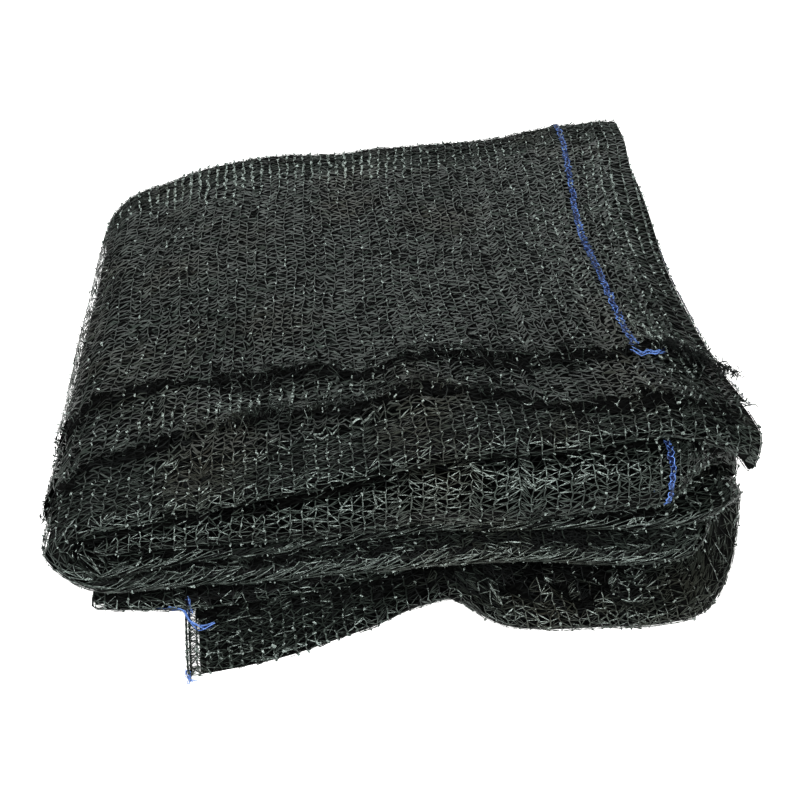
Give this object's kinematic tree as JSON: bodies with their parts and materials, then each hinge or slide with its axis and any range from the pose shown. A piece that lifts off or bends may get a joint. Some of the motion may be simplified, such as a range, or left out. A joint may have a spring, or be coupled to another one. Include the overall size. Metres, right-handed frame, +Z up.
{
  "type": "folded shade net",
  "caption": "Black knitted shade net folded into a flat pack, with a blue marker yarn near each selvedge; it lies on a surface, ready to be unfolded and hung.",
  "frame": {"origin": "centre of the pack's bounding box, on the surface that it lies on", "axes": "+Z up; +X across the width fold, to the right as seen from the open front; +Y from the open front to the folded back"},
  "size_m": [0.3952, 0.3982, 0.1216],
  "materials": {
    "net": "knitted flat plastic tape, low sheen"
  },
  "bodies": {
    "root": {"net": "net"}
  },
  "joints": []
}
